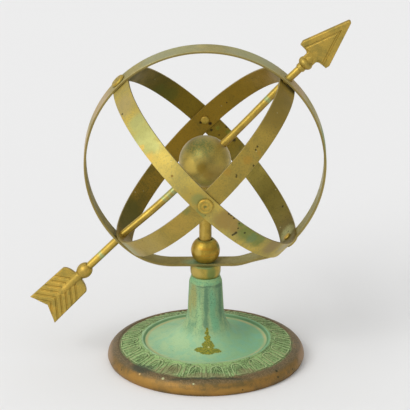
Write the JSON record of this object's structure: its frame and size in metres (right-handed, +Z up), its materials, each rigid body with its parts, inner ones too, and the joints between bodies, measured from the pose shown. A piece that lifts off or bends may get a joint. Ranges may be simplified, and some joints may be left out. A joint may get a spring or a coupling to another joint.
{
  "type": "armillary sphere sundial",
  "caption": "Armillary sphere: nested riveted brass rings round a globe, pierced by a feathered arrow, on a stem and cast pillar base.",
  "frame": {"origin": "the point of the table under the pillar's axis, in the plane of the foot", "axes": "+Z up along the stem; +X to the side the arrowhead points to, so that the meridian ring lies in the XZ plane; -Y to the front, where the picture was taken from"},
  "size_m": [0.2662, 0.2012, 0.2997],
  "materials": {
    "base_bronze": "weathered casting with pale green verdigris in the dish and bronze brown on the rim",
    "turned_brass": "turned, aged, with green in the edges",
    "stem_brass": "aged gold brown",
    "fastener_brass": "dull, plain",
    "ring_brass": "aged olive brass with dark specks",
    "rivet_brass": "worn, brighter on the heads",
    "rod_brass": "aged gold with turquoise bands where it entered the globe",
    "cast_brass": "cast, gold on the raised ribs and olive in the recesses"
  },
  "bodies": {
    "base": {"base_casting": "base_bronze"},
    "sphere": {"collar": "turned_brass", "ball_nut": "turned_brass", "stem_pipe": "stem_brass", "stem_washer": "fastener_brass", "stem_nut": "fastener_brass", "globe": "turned_brass", "meridian_ring": "ring_brass", "equatorial_ring": "ring_brass", "hour_ring": "ring_brass", "front_rivet": "rivet_brass", "rear_rivet": "rivet_brass", "upper_rivet": "rivet_brass", "lower_rivet": "rivet_brass"},
    "arrow_shaft": {"gnomon_rod": "rod_brass"},
    "arrow_ends": {"arrowhead": "cast_brass", "arrow_tail": "cast_brass"}
  },
  "joints": [
    {"name": "stem_turn", "type": "hinge", "parent": "base", "child": "sphere", "pos_m": [0, 0, 0.075], "axis": [0, 0, 1], "continuous": true},
    {"name": "arrow_slide", "type": "slide", "parent": "sphere", "child": "arrow_shaft", "axis": [0.7071, 0, 0.7071], "range_m": [-0.011, 0.032]},
    {"name": "arrow_turn", "type": "hinge", "parent": "arrow_shaft", "child": "arrow_ends", "pos_m": [-0.00177, 0, 0.17812], "axis": [0.7071, 0, 0.7071], "continuous": true}
  ]
}
